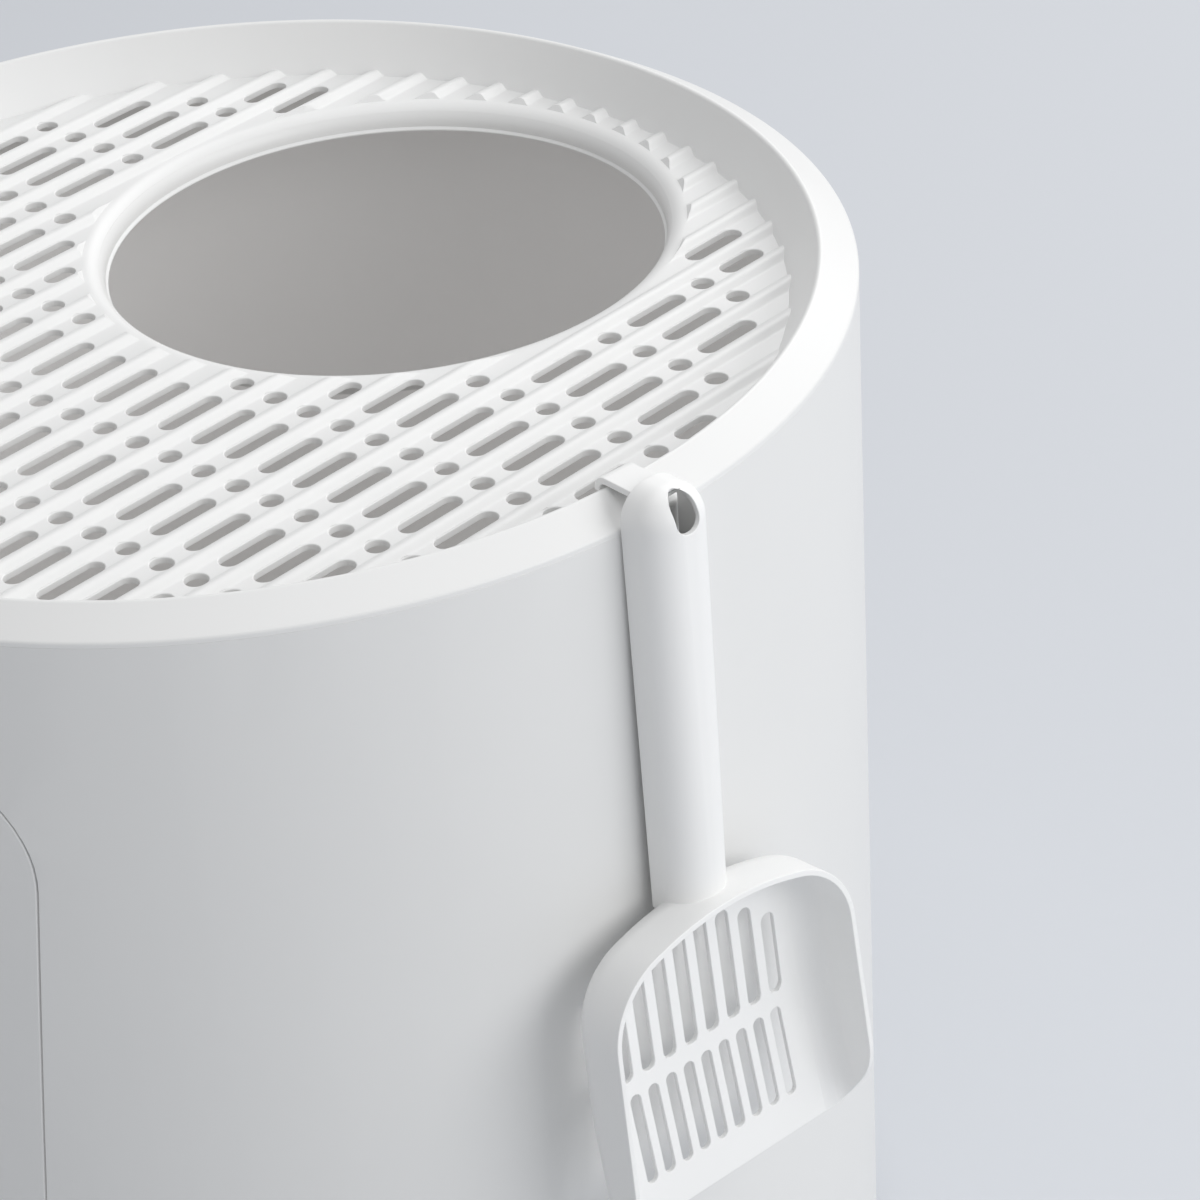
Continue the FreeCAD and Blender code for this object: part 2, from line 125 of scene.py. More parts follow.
class LitterBoxDeckSizes(bpy.types.PropertyGroup):
    """The fluted deck and its rows of slots and round holes."""
    flute_pitch: length("Flute pitch", "From one flute to the next", 15.133)
    flute_depth: length("Flute depth", "From the top of a ridge to the bottom of a flute", 1.8)
    flute_floor: length("Flute floor", "Width of the flat bottom of a flute", 6.4)
    ridge_top: length("Ridge top", "Width of the flat top between two flutes", 0.8)
    row_pitch: length("Row pitch", "From a row of slots to the row of round holes beside it", 22.644)
    first_row: length("First row", "Place of one row of slots, front to back", -46.8)
    slot_length: length("Slot length", "Length of a whole slot", 25.0)
    slot_width: length("Slot width", "Width of a slot", 7.0)
    slot_least: length("Shortest slot", "A slot that would come out shorter is left out", 10.0)
    dot_diameter: length("Round hole", "Diameter of a round hole", 7.6)
    pattern_radius: length("Pattern radius", "The holes stay inside this circle", 180.5)
    edge_round: length("Edge round", "Softening of the edge of each hole", 0.4)
    overrun: length("Overrun", "How far each cutter goes past what it cuts", 6.0)


class LitterBoxEntrySizes(bpy.types.PropertyGroup):
    """The entry hole and its rolled collar."""
    hole_radius: length("Hole radius", "Radius of the entry hole", 94.3)
    hole_y: length("Hole place", "Distance from the middle of the lid to the middle of the hole", 78.2)
    collar_radius: length("Collar radius", "Outer edge of the smooth collar", 102.2)
    collar_bevel: length("Collar bevel", "Width of the slope from the collar up to the ridges", 1.6)
    clear_radius: length("Clear radius", "The holes of the deck stay outside this circle", 105.2)
    roll_radius: length("Roll radius", "Radius that rolls the collar down into the hole", 6.8)
    roll_skirt: length("Roll skirt", "Straight edge below the roll", 1.4)
    roll_wall: length("Roll wall", "Thickness of the rolled edge", 2.6)
    hem: length("Hem", "How far the lower edge of the roll stands into the hole", 0.8)


class LitterBoxDrumSizes(bpy.types.PropertyGroup):
    """Sizes that tell the inside of the drum from its outside."""
    wall: length("Wall", "Thickness of the drum wall", 3.0)
    foot_recess: length("Foot recess", "Height of the recess under the floor", 4.0)
    draft: FloatProperty(
        name="Draft", description="Lean of the wall", default=math.radians(1.2), subtype="ANGLE")


class LitterBoxFinish(bpy.types.PropertyGroup):
    """Colours and surface sizes of the litter box."""
    drum_colour: colour("Drum", "Colour of the drum and its flap", "E9E9E8")
    lid_colour: colour("Lid", "Colour of the lid", "EDEDEC")
    scoop_colour: colour("Scoop", "Colour of the scoop", "F6F6F5")
    # Painted light: the inside colour is a lighter shade painted inside the drum and flap, and the glow
    # is a painted glow, both standing for daylight through the thin wall
    inside_daylight_colour: colour("Drum inside", "Colour of the inside of the drum and its flap", "F6F5F4")
    pin_colour: colour("Hinge pin", "Colour of the steel hinge pin", "B9B8B5")
    glow_colour: colour("Glow tint", "Tint of the daylight that comes through the wall", "FFFDFC")
    glow: FloatProperty(
        name="Glow", description="Strength of the daylight that comes through the wall", default=0.04)
    grain: length("Grain", "Size of the fine moulded grain", 0.9)
    flow: length("Flow", "Size of the slow changes that moulding leaves in the gloss", 46.0)
    wire_lines: length("Wire lines", "Distance between the fine lines on the hinge pin", 0.25)
    edge_round: length("Edge round", "Rounding of the moulded edges", 0.25)
    turns: IntProperty(name="Turned steps", description="Steps round the lid", default=288, min=24)


class LitterBoxStudio(bpy.types.PropertyGroup):
    """The floor and the light round the litter box."""
    floor_colour: colour("Floor", "Colour of the floor", "D2D5DA")
    sky_colour: colour("Sky", "Colour of the light from all round", "FCFDFF")
    sky: FloatProperty(name="Sky strength", description="Light from all round", default=0.48)
    floor_half: length("Floor half", "From the middle of the floor to its edges", 6000.0)
    side_lamp: power("Side lamp", "Lamp on the scoop's side", 20.0)
    back_lamp: power("Back lamp", "Lamp behind the drum", 17.0)
    top_lamp: power("Top lamp", "Lamp over the lid", 9.5)
    edge_lamp: power("Edge lamp", "Lamp that brings out the rim", 5.6)


class LitterBoxSettings(bpy.types.PropertyGroup):
    """All the settings of the litter box."""
    lid: PointerProperty(type=LitterBoxLidSizes, name="Lid", description="Sizes of the lid")
    deck: PointerProperty(type=LitterBoxDeckSizes, name="Deck", description="Sizes of the deck")
    entry: PointerProperty(type=LitterBoxEntrySizes, name="Entry", description="Sizes of its hole")
    drum: PointerProperty(type=LitterBoxDrumSizes, name="Drum", description="Sizes of the drum")
    finish: PointerProperty(type=LitterBoxFinish, name="Finish", description="Colours and surfaces")
    studio: PointerProperty(type=LitterBoxStudio, name="Studio", description="Floor and light")


def settings():
    """The settings that are in use."""
    return bpy.context.scene.litter_box


# Node trees

def add(tree, kind, feeds=None, **options):
    """Add a node, set its options, and feed its inputs, by number or name, with links or values."""
    node = tree.nodes.new(kind)
    for name, value in options.items():
        setattr(node, name, value)
    for key, feed in (feeds or {}).items():
        if isinstance(feed, bpy.types.NodeSocket):
            tree.links.new(feed, node.inputs[key])
        else:
            node.inputs[key].default_value = feed
    return node


# Materials

def moulded_polypropylene(name, shade):
    """Injection-moulded polypropylene: a satin skin with a fine spark-eroded grain that softens every
    highlight, and a gloss that changes slowly where the melt flowed. The real grain is about 0.1 mm,
    which is too fine to show, so it is drawn coarser and very shallow."""
    smoothest, roughest = 0.38, 0.47
    darkest_share = 0.985
    grain_height = 0.05 * MM
    finish = settings().finish
    material = bpy.data.materials.new(name)
    material.use_nodes = True
    tree = material.node_tree
    shader = tree.nodes["Principled BSDF"]
    place = add(tree, "ShaderNodeTexCoord").outputs["Object"]
    grain = add(tree, "ShaderNodeTexNoise", {
        "Vector": place, "Scale": 1 / finish.grain, "Detail": 2.0})
    flow = add(tree, "ShaderNodeTexNoise", {
        "Vector": place, "Scale": 1 / finish.flow, "Detail": 1.0})
    gloss = add(tree, "ShaderNodeMapRange", {
        "Value": flow.outputs["Fac"], "To Min": smoothest, "To Max": roughest})
    tint = add(tree, "ShaderNodeMapRange", {
        "Value": flow.outputs["Fac"], "To Min": darkest_share, "To Max": 1.0})
    body = add(tree, "ShaderNodeVectorMath", {0: shade, 1: tint.outputs[0]}, operation="MULTIPLY")
    bump = add(tree, "ShaderNodeBump", {
        "Height": grain.outputs["Fac"], "Strength": 0.12, "Distance": grain_height})
    tree.links.new(body.outputs[0], shader.inputs["Base Color"])
    tree.links.new(gloss.outputs[0], shader.inputs["Roughness"])
    tree.links.new(bump.outputs[0], shader.inputs["Normal"])
    shader.inputs["IOR"].default_value = 1.49
    return material


def daylit_polypropylene(name, shade):
    """The same moulded polypropylene inside the drum, where the thin wall lets some daylight through,
    which a lighter shade and a faint glow stand for."""
    finish = settings().finish
    material = moulded_polypropylene(name, shade)
    shader = material.node_tree.nodes["Principled BSDF"]
    shader.inputs["Emission Color"].default_value = (*finish.glow_colour, 1.0)
    shader.inputs["Emission Strength"].default_value = finish.glow
    return material


def drawn_steel(name, shade):
    """Drawn steel wire: bare metal with fine lines along its length, left by the die."""
    smoothest, roughest = 0.26, 0.42
    lines_stretched = (0.04, 1.0, 1.0)
    line_depth = 0.02 * MM
    material = bpy.data.materials.new(name)
    material.use_nodes = True
    tree = material.node_tree
    shader = tree.nodes["Principled BSDF"]
    place = add(tree, "ShaderNodeTexCoord").outputs["Object"]
    along = add(tree, "ShaderNodeMapping", {"Vector": place, "Scale": lines_stretched})
    lines = add(tree, "ShaderNodeTexNoise", {
        "Vector": along.outputs[0], "Scale": 1 / settings().finish.wire_lines, "Detail": 2.0})
    gloss = add(tree, "ShaderNodeMapRange", {
        "Value": lines.outputs["Fac"], "To Min": smoothest, "To Max": roughest})
    bump = add(tree, "ShaderNodeBump", {
        "Height": lines.outputs["Fac"], "Strength": 0.2, "Distance": line_depth})
    tree.links.new(gloss.outputs[0], shader.inputs["Roughness"])
    tree.links.new(bump.outputs[0], shader.inputs["Normal"])
    shader.inputs["Base Color"].default_value = (*shade, 1.0)
    shader.inputs["Metallic"].default_value = 1.0
    return material


def matt_paint(name, shade):
    """Matt paint on the studio floor: even and dull, so that only the soft shadow shows on it."""
    material = bpy.data.materials.new(name)
    material.use_nodes = True
    shader = material.node_tree.nodes["Principled BSDF"]
    shader.inputs["Base Color"].default_value = (*shade, 1.0)
    shader.inputs["Roughness"].default_value = 0.9
    return material


# Meshes

def rounded(corners, steps=CORNER_STEPS):
    """An outline from corners (a, b, radius): points of straight runs joined by tangent arcs."""
    points = []
    count = len(corners)
    for i in range(count):
        here = Vector(corners[i][:2])
        radius = corners[i][2]
        if not radius:
            points.append(here)
            continue
        before = (Vector(corners[i - 1][:2]) - here).normalized()
        after = (Vector(corners[(i + 1) % count][:2]) - here).normalized()
        half = before.angle(after) / 2
        centre = here + (before + after).normalized() * (radius / math.sin(half))
        start = here + before * (radius / math.tan(half)) - centre
        end = here + after * (radius / math.tan(half)) - centre
        sweep = start.angle(end)
        for k in range(steps + 1):
            share = k / steps
            mixed = start * math.sin((1 - share) * sweep) + end * math.sin(share * sweep)
            points.append(centre + mixed / math.sin(sweep))
    return points


def mesh_object(name, points, faces):
    """A new object from points and faces, with its faces turned outwards."""
    mesh = bpy.data.meshes.new(name)
    mesh.from_pydata([tuple(p) for p in points], [], faces)
    work = bmesh.new()
    work.from_mesh(mesh)
    bmesh.ops.recalc_face_normals(work, faces=work.faces)
    work.to_mesh(mesh)
    work.free()
    piece = bpy.data.objects.new(name, mesh)
    bpy.context.scene.collection.objects.link(piece)
    return piece


def turned(name, outline, steps, centre_y=0.0):
    """A closed body turned about an upright axis from an outline of (radius, height) points."""
    points = []
    rings = []
    for radius, height in outline:
        first = len(points)
        if radius < WELD:
            points.append((0.0, centre_y, height))
            rings.append([first] * steps)
            continue
        for k in range(steps):
            angle = 2 * math.pi * k / steps
            points.append((radius * math.cos(angle), centre_y + radius * math.sin(angle), height))
        rings.append(list(range(first, first + steps)))
    faces = []
    for i in range(len(rings)):
        low, high = rings[i - 1], rings[i]
        for k in range(steps):
            n = (k + 1) % steps
            corners = list(dict.fromkeys([low[k], low[n], high[n], high[k]]))
            if len(corners) > 2:
                faces.append(corners)
    return mesh_object(name, points, faces)


def bar(name, outline, y_low, y_high):
    """A bar along Y from an outline of (x, z) points."""
    count = len(outline)
    points = [(x, y, z) for y in (y_low, y_high) for x, z in outline]
    faces = [list(range(count)), list(range(2 * count - 1, count - 1, -1))]
    for i in range(count):
        n = (i + 1) % count
        faces.append([i, n, count + n, count + i])
    return mesh_object(name, points, faces)


def smooth_by_angle(piece):
    """Smooth shading with sharp edges kept, and flat faces kept truly flat."""
    mesh = piece.data
    mesh.polygons.foreach_set("use_smooth", [True] * len(mesh.polygons))
    mesh.set_sharp_from_angle(angle=SMOOTH_ANGLE)
    weights = piece.modifiers.new("Flat faces", "WEIGHTED_NORMAL")
    weights.mode = "FACE_AREA"
    weights.keep_sharp = True


def soft_copy(node, name, material):
    """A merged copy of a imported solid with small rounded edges, which stands for it."""
    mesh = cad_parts[node].data.copy()
    mesh.name = name
    work = bmesh.new()
    work.from_mesh(mesh)
    bmesh.ops.remove_doubles(work, verts=work.verts, dist=WELD)
    bmesh.ops.dissolve_limit(work, angle_limit=FLAT_ANGLE, verts=work.verts, edges=work.edges)
    work.to_mesh(mesh)
    work.free()
    mesh.materials.clear()
    mesh.materials.append(material)
    piece = bpy.data.objects.new(name, mesh)
    bpy.context.scene.collection.objects.link(piece)
    bevel = piece.modifiers.new("Edges", "BEVEL")
    bevel.width = settings().finish.edge_round
    bevel.segments = EDGE_STEPS
    bevel.limit_method = "ANGLE"
    bevel.angle_limit = EDGE_ANGLE
    bevel.use_clamp_overlap = False
    smooth_by_angle(piece)
    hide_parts(node)
    return piece


def paint_daylight_inside(mesh, material):
    """Give the faces inside the drum the material with a lighter painted shade and a faint painted
    glow, which stand for daylight through the wall; the faces are told apart by the middle of its wall.
    """
    drum = settings().drum
    seat = CREST - settings().lid.band_height
    mesh.materials.append(material)
    slot = len(mesh.materials) - 1
    for face in mesh.polygons:
        x, y, z = face.center
        middle = RIM - drum.wall / 2 - (seat - z) * math.tan(drum.draft)
        if math.hypot(x, y) < middle and z > drum.foot_recess + drum.wall / 2:
            face.material_index = slot


# The lid

def lid_outline():
    """Section of the lid before its flutes and holes: rim, dish, plain deck and skirt."""
    lid = settings().lid
    deck = settings().deck
    slope = (lid.dish_top - lid.dish_foot) / lid.rim_rise
    groove = CREST - lid.rim_rise
    ridge = groove + deck.flute_depth
    under = groove - lid.deck_web
    seat = CREST - lid.band_height
    roof = CREST - lid.skin
    under_radius = lid.dish_foot - lid.deck_web * slope + lid.skin
    skirt = RIM - lid.skirt_gap
    foot = skirt - lid.skirt_lean
    fall = (lid.band_height - lid.band_edge) / (RIM - lid.dish_top)
    return rounded([
        (RIM, seat, 0),
        (RIM, seat + lid.band_edge, lid.band_round),
        (lid.dish_top, CREST, lid.lip_round),
        (lid.dish_foot + deck.flute_depth * slope, ridge, 0),
        (0, ridge, 0),
        (0, under, 0),
        (under_radius, under, 0),
        (under_radius + (roof - under) * slope, roof, 0),
        (skirt - lid.skirt_wall, roof - fall * (skirt - lid.skirt_wall - lid.dish_top), 0),
        (foot - lid.skirt_wall, seat - lid.skirt_depth, 0),
        (foot, seat - lid.skirt_depth, 0),
        (skirt, seat, 0),
    ])


def flute_cutter():
    """One flute: a flat bottom whose sides curve up and roll over onto the ridges."""
    lid = settings().lid
    deck = settings().deck
    groove = CREST - lid.rim_rise
    floor = deck.flute_floor / 2
    run = (deck.flute_pitch - deck.ridge_top) / 2 - floor
    side = []
    for k in range(FLUTE_STEPS + 1):
        share = k / FLUTE_STEPS
        rise = (1 - math.cos(math.pi * share)) / 2
        side.append((floor + run * share, groove + deck.flute_depth * rise))
    over = groove + deck.flute_depth + deck.overrun
    edge = side[-1][0]
    outline = side + [(edge, over), (-edge, over)] + [(-x, z) for x, z in reversed(side)]
    return bar("flute_cutter", outline, -RIM, RIM)


def flute_zone():
    """The room inside the dish in which flutes are cut."""
    lid = settings().lid
    deck = settings().deck
    slope = (lid.dish_top - lid.dish_foot) / lid.rim_rise
    groove = CREST - lid.rim_rise
    ridge = groove + deck.flute_depth
    low = groove - deck.overrun
    over = ridge + 2 * deck.overrun
    outline = [
        (0, low),
        (lid.dish_foot - deck.overrun * slope, low),
        (lid.dish_foot + deck.flute_depth * slope, ridge),
        (lid.dish_foot + deck.flute_depth * slope, over),
        (0, over),
    ]
    return turned("flute_zone", outline, settings().finish.turns)


def collar_ring():
    """The rolled edge that hangs below the deck, before it is cut to shape."""
    lid = settings().lid
    entry = settings().entry
    groove = CREST - lid.rim_rise
    under = groove - lid.deck_web
    low = groove - entry.roll_radius - entry.roll_skirt - entry.hem / 2
    inside = entry.hole_radius - entry.roll_wall
    outside = entry.hole_radius + entry.roll_wall
    outline = [
        (inside, groove),
        (inside, low),
        (outside, low),
        (outside, under),
        (outside + entry.roll_radius, under),
        (outside + entry.roll_radius, groove),
    ]
    return turned("collar_ring", outline, settings().finish.turns, entry.hole_y)


def collar_cutter():
    """Everything that the collar and the entry hole take away."""
    lid = settings().lid
    deck = settings().deck
    entry = settings().entry
    groove = CREST - lid.rim_rise
    ridge = groove + deck.flute_depth
    over = ridge + deck.overrun
    hem_z = groove - entry.roll_radius - entry.roll_skirt
    low = hem_z - deck.overrun
    neck = entry.hole_radius + entry.hem
    outside = entry.collar_radius + entry.collar_bevel
    outline = rounded([
        (0, over, 0),
        (outside, over, 0),
        (outside, ridge, 0),
        (entry.collar_radius, groove, 0),
        (neck, groove, entry.roll_radius),
        (neck, hem_z + entry.hem, 0),
        (entry.hole_radius, hem_z, entry.hem / 2),
        (entry.hole_radius, low, 0),
        (0, low, 0),
    ], ROLL_STEPS)
    return turned("collar_cutter", outline, settings().finish.turns, entry.hole_y)


def hole_cutter(name, radius):
    """A round cutter that flares at the top for a soft edge. Each point is marked by the end that it is
    on, so that the deck's tree can stretch the cutter into a slot."""
    lid = settings().lid
    deck = settings().deck
    top = CREST - lid.rim_rise
    soft = deck.edge_round
    levels = [(0.0, top - lid.deck_web - deck.overrun), (0.0, top - soft)]
    for k in range(1, HOLE_EDGE_STEPS + 1):
        angle = math.pi / 2 * k / HOLE_EDGE_STEPS
        levels.append((soft * (1 - math.cos(angle)), top - soft + soft * math.sin(angle)))
    levels.append((soft, top + deck.flute_depth + deck.overrun))
    ends = []
    for sign in (1, -1):
        for k in range(HOLE_STEPS + 1):
            angle = math.pi * k / HOLE_STEPS
            ends.append((sign * math.cos(angle), sign * math.sin(angle), sign))
    points = [((radius + out) * x, (radius + out) * y, z) for out, z in levels for x, y, side in ends]
    count = len(ends)
    faces = [list(range(count))[::-1], list(range(len(points) - count, len(points)))]
    for level in range(len(levels) - 1):
        for i in range(count):
            n = (i + 1) % count
            low = level * count
            faces.append([low + i, low + n, low + count + n, low + count + i])
    mesh = bpy.data.meshes.new(name)
    mesh.from_pydata(points, [], faces)
    mark = mesh.attributes.new("side", "FLOAT", "POINT")
    mark.data.foreach_set("value", [side for out, z in levels for x, y, side in ends])
    cutter = bpy.data.objects.new(name, mesh)
    bpy.context.scene.collection.objects.link(cutter)
    return cutter


def deck_width(tree, given):
    """From the first column of flutes and holes to the last."""
    spans = add(tree, MATHS, {0: given["Columns"], 1: 1.0}, operation="SUBTRACT").outputs[0]
    return add(tree, MATHS, {0: spans, 1: given["Flute Pitch"]}, operation="MULTIPLY").outputs[0]


def half_chord(tree, radius):
    """Half the front-to-back chord that a circle has at a point's x."""
    place = add(tree, "GeometryNodeInputPosition").outputs[0]
    x = add(tree, "ShaderNodeSeparateXYZ", {0: place}).outputs[0]
    x_square = add(tree, MATHS, {0: x, 1: x}, operation="MULTIPLY").outputs[0]
    square = add(tree, MATHS, {0: radius, 1: radius}, operation="MULTIPLY").outputs[0]
    rest = add(tree, MATHS, {0: square, 1: x_square}, operation="SUBTRACT").outputs[0]
    room = add(tree, MATHS, {0: rest, 1: 0.0}, operation="MAXIMUM").outputs[0]
    return add(tree, MATHS, {0: room}, operation="SQRT").outputs[0]


def cut_flutes(tree, given, shapes):
    """The blank lid with its flutes, side by side and kept to their zone."""
    width = deck_width(tree, given)
    left = add(tree, MATHS, {0: width, 1: -0.5}, operation="MULTIPLY").outputs[0]
    start = add(tree, "ShaderNodeCombineXYZ", {0: left}).outputs[0]
    step = add(tree, "ShaderNodeCombineXYZ", {0: given["Flute Pitch"]}).outputs[0]
    line = add(tree, "GeometryNodeMeshLine", {
        "Count": given["Columns"], "Start Location": start, "Offset": step})
    flutes = add(tree, "GeometryNodeInstanceOnPoints", {
        "Points": line.outputs[0], "Instance": shapes["Flute Cutter"]})
    flutes = add(tree, "GeometryNodeRealizeInstances", {0: flutes.outputs[0]})
    within = add(tree, BOOLEAN, {"Mesh 2": flutes.outputs[0]}, operation="INTERSECT", solver="MANIFOLD")
    tree.links.new(shapes["Flute Zone"], within.inputs["Mesh 2"])
    fluted = add(tree, BOOLEAN, {"Mesh 1": given["Geometry"], "Mesh 2": within.outputs[0]},
                 operation="DIFFERENCE", solver="MANIFOLD")
    return fluted.outputs[0]


def cut_collar(tree, fluted, shapes):
    """The fluted lid with its collar and its entry hole."""
    ringed = add(tree, BOOLEAN, {"Mesh 2": fluted}, operation="UNION", solver="MANIFOLD")
    tree.links.new(shapes["Collar Ring"], ringed.inputs["Mesh 2"])
    collared = add(tree, BOOLEAN, {"Mesh 1": ringed.outputs[0], "Mesh 2": shapes["Collar Cutter"]},
                   operation="DIFFERENCE", solver="MANIFOLD")
    return collared.outputs[0]


def hole_grids(tree, given):
    """One grid of points for the rows of slots, and one for the rows of round holes between them."""
    pair = add(tree, MATHS, {0: given["Row Pitch"], 1: 2.0}, operation="MULTIPLY").outputs[0]
    gaps = add(tree, MATHS, {0: given["Rows"], 1: 1.0}, operation="SUBTRACT").outputs[0]
    depth = add(tree, MATHS, {0: gaps, 1: pair}, operation="MULTIPLY").outputs[0]
    grid = add(tree, "GeometryNodeMeshGrid", {
        "Size X": deck_width(tree, given), "Size Y": depth,
        "Vertices X": given["Columns"], "Vertices Y": given["Rows"]}).outputs[0]
    slot_row = given["First Row"]
    dot_row = add(tree, MATHS, {0: slot_row, 1: given["Row Pitch"]}, operation="ADD").outputs[0]
    grids = []
    for row in (slot_row, dot_row):
        shift = add(tree, "ShaderNodeCombineXYZ", {1: row}).outputs[0]
        moved = add(tree, "GeometryNodeTransform", {"Geometry": grid, "Translation": shift})
        grids.append(moved.outputs[0])
    return grids


def slot_ends(tree, given):
    """Where the slot at a point starts and stops, in front of the entry hole and behind it."""
    place = add(tree, "GeometryNodeInputPosition").outputs[0]
    y = add(tree, "ShaderNodeSeparateXYZ", {0: place}).outputs[1]
    limit = half_chord(tree, given["Pattern Radius"])
    reach = half_chord(tree, given["Collar Reach"])
    behind = add(tree, MATHS, {0: limit, 1: -1.0}, operation="MULTIPLY").outputs[0]
    half = add(tree, MATHS, {0: given["Slot Length"], 1: 0.5}, operation="MULTIPLY").outputs[0]
    low = add(tree, MATHS, {0: y, 1: half}, operation="SUBTRACT").outputs[0]
    high = add(tree, MATHS, {0: y, 1: half}, operation="ADD").outputs[0]
    low = add(tree, MATHS, {0: low, 1: behind}, operation="MAXIMUM").outputs[0]
    high = add(tree, MATHS, {0: high, 1: limit}, operation="MINIMUM").outputs[0]
    beside = add(tree, "FunctionNodeCompare", {0: reach, 1: 0.0}, operation="LESS_EQUAL").outputs[0]
    near_edge = add(tree, MATHS, {0: given["Hole Place"], 1: reach}, operation="SUBTRACT").outputs[0]
    far_edge = add(tree, MATHS, {0: given["Hole Place"], 1: reach}, operation="ADD").outputs[0]
    front_high = add(tree, MATHS, {0: high, 1: near_edge}, operation="MINIMUM").outputs[0]
    front_high = add(tree, "GeometryNodeSwitch", {0: beside, 1: front_high, 2: high},
                     input_type="FLOAT").outputs[0]
    back_low = add(tree, MATHS, {0: low, 1: far_edge}, operation="MAXIMUM").outputs[0]
    back_low = add(tree, "GeometryNodeSwitch", {0: beside, 1: back_low, 2: high},
                   input_type="FLOAT").outputs[0]
    return (low, front_high), (back_low, high)


def slot_cutters(tree, given, shapes, grid):
    """A slot cutter at each point of a grid, moved and stretched to end where its slot does."""
    place = add(tree, "GeometryNodeInputPosition").outputs[0]
    x = add(tree, "ShaderNodeSeparateXYZ", {0: place}).outputs[0]
    join = add(tree, "GeometryNodeJoinGeometry")
    for first, last in slot_ends(tree, given):
        span = add(tree, MATHS, {0: last, 1: first}, operation="SUBTRACT").outputs[0]
        straight = add(tree, MATHS, {0: span, 1: given["Slot Width"]}, operation="SUBTRACT").outputs[0]
        stretch = add(tree, MATHS, {0: straight, 1: 0.5}, operation="MULTIPLY").outputs[0]
        both = add(tree, MATHS, {0: last, 1: first}, operation="ADD").outputs[0]
        middle = add(tree, MATHS, {0: both, 1: 0.5}, operation="MULTIPLY").outputs[0]
        centre = add(tree, "ShaderNodeCombineXYZ", {0: x, 1: middle}).outputs[0]
        short = add(tree, "FunctionNodeCompare", {0: span, 1: given["Shortest Slot"]},
                    operation="LESS_THAN").outputs[0]
        points = add(tree, "GeometryNodeStoreNamedAttribute", {
            "Geometry": grid, "Name": "stretch", "Value": stretch})
        points = add(tree, "GeometryNodeStoreNamedAttribute", {
            "Geometry": points.outputs[0], "Name": "short", "Value": short}, data_type="BOOLEAN")
        points = add(tree, "GeometryNodeSetPosition", {
            "Geometry": points.outputs[0], "Position": centre})
        left_out = add(tree, "GeometryNodeInputNamedAttribute", {"Name": "short"}, data_type="BOOLEAN")
        points = add(tree, "GeometryNodeDeleteGeometry", {
            "Geometry": points.outputs[0], "Selection": left_out.outputs[0]})
        slots = add(tree, "GeometryNodeInstanceOnPoints", {
            "Points": points.outputs[0], "Instance": shapes["Slot Cutter"]})
        tree.links.new(slots.outputs[0], join.inputs[0])
    joined = add(tree, "GeometryNodeRealizeInstances", {0: join.outputs[0]})
    side = add(tree, "GeometryNodeInputNamedAttribute", {"Name": "side"}, data_type="FLOAT").outputs[0]
    amount = add(tree, "GeometryNodeInputNamedAttribute", {"Name": "stretch"}, data_type="FLOAT")
    shift = add(tree, MATHS, {0: side, 1: amount.outputs[0]}, operation="MULTIPLY").outputs[0]
    offset = add(tree, "ShaderNodeCombineXYZ", {1: shift}).outputs[0]
    slots = add(tree, "GeometryNodeSetPosition", {"Geometry": joined.outputs[0], "Offset": offset})
    return slots.outputs[0]


def dot_cutters(tree, given, shapes, grid):
    """A round cutter at each point of a grid whose hole stays clear of the dish and of the collar."""
    place = add(tree, "GeometryNodeInputPosition").outputs[0]
    radius = add(tree, MATHS, {0: given["Dot Diameter"], 1: 0.5}, operation="MULTIPLY").outputs[0]
    out = add(tree, "ShaderNodeVectorMath", {0: place}, operation="LENGTH").outputs["Value"]
    edge = add(tree, MATHS, {0: out, 1: radius}, operation="ADD").outputs[0]
    outside = add(tree, "FunctionNodeCompare", {0: edge, 1: given["Pattern Radius"]},
                  operation="GREATER_THAN").outputs[0]
    middle = add(tree, "ShaderNodeCombineXYZ", {1: given["Hole Place"]}).outputs[0]
    away = add(tree, "ShaderNodeVectorMath", {0: place, 1: middle}, operation="DISTANCE")
    clear = add(tree, MATHS, {0: away.outputs["Value"], 1: radius}, operation="SUBTRACT").outputs[0]
    inside = add(tree, "FunctionNodeCompare", {0: clear, 1: given["Collar Reach"]},
                 operation="LESS_THAN").outputs[0]
    unwanted = add(tree, "FunctionNodeBooleanMath", {0: outside, 1: inside}, operation="OR").outputs[0]
    points = add(tree, "GeometryNodeDeleteGeometry", {"Geometry": grid, "Selection": unwanted})
    dots = add(tree, "GeometryNodeInstanceOnPoints", {
        "Points": points.outputs[0], "Instance": shapes["Dot Cutter"]})
    return add(tree, "GeometryNodeRealizeInstances", {0: dots.outputs[0]}).outputs[0]


